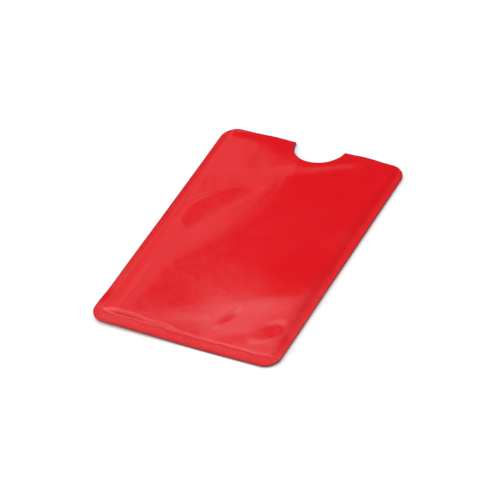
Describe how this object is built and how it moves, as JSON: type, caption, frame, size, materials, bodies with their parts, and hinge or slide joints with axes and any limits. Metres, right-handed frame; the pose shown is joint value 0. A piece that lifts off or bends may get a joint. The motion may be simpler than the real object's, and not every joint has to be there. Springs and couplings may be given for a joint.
{
  "type": "card sleeve",
  "caption": "Slim red foil-laminate sleeve for a bank card, heat sealed on three sides, open at one short end with a half-round thumb notch.",
  "frame": {"origin": "middle of the sleeve's box on the plane of the back web's outer face, which it lies on", "axes": "+X across the sleeve, +Y along it and out of the mouth, +Z out of the front web"},
  "size_m": [0.062, 0.091, 0.0024],
  "materials": {
    "front_red_film": "glossy red polyester film, softly wavy over its foil",
    "back_red_film": "glossy red polyester film, lying flat",
    "foil": "bright rolled aluminium foil",
    "sealing_film": "silvery translucent polyethylene sealing film"
  },
  "bodies": {
    "root": {"front_outer_film": "front_red_film", "front_foil": "foil", "front_liner": "sealing_film", "back_liner": "sealing_film", "back_foil": "foil", "back_outer_film": "back_red_film"}
  },
  "joints": []
}
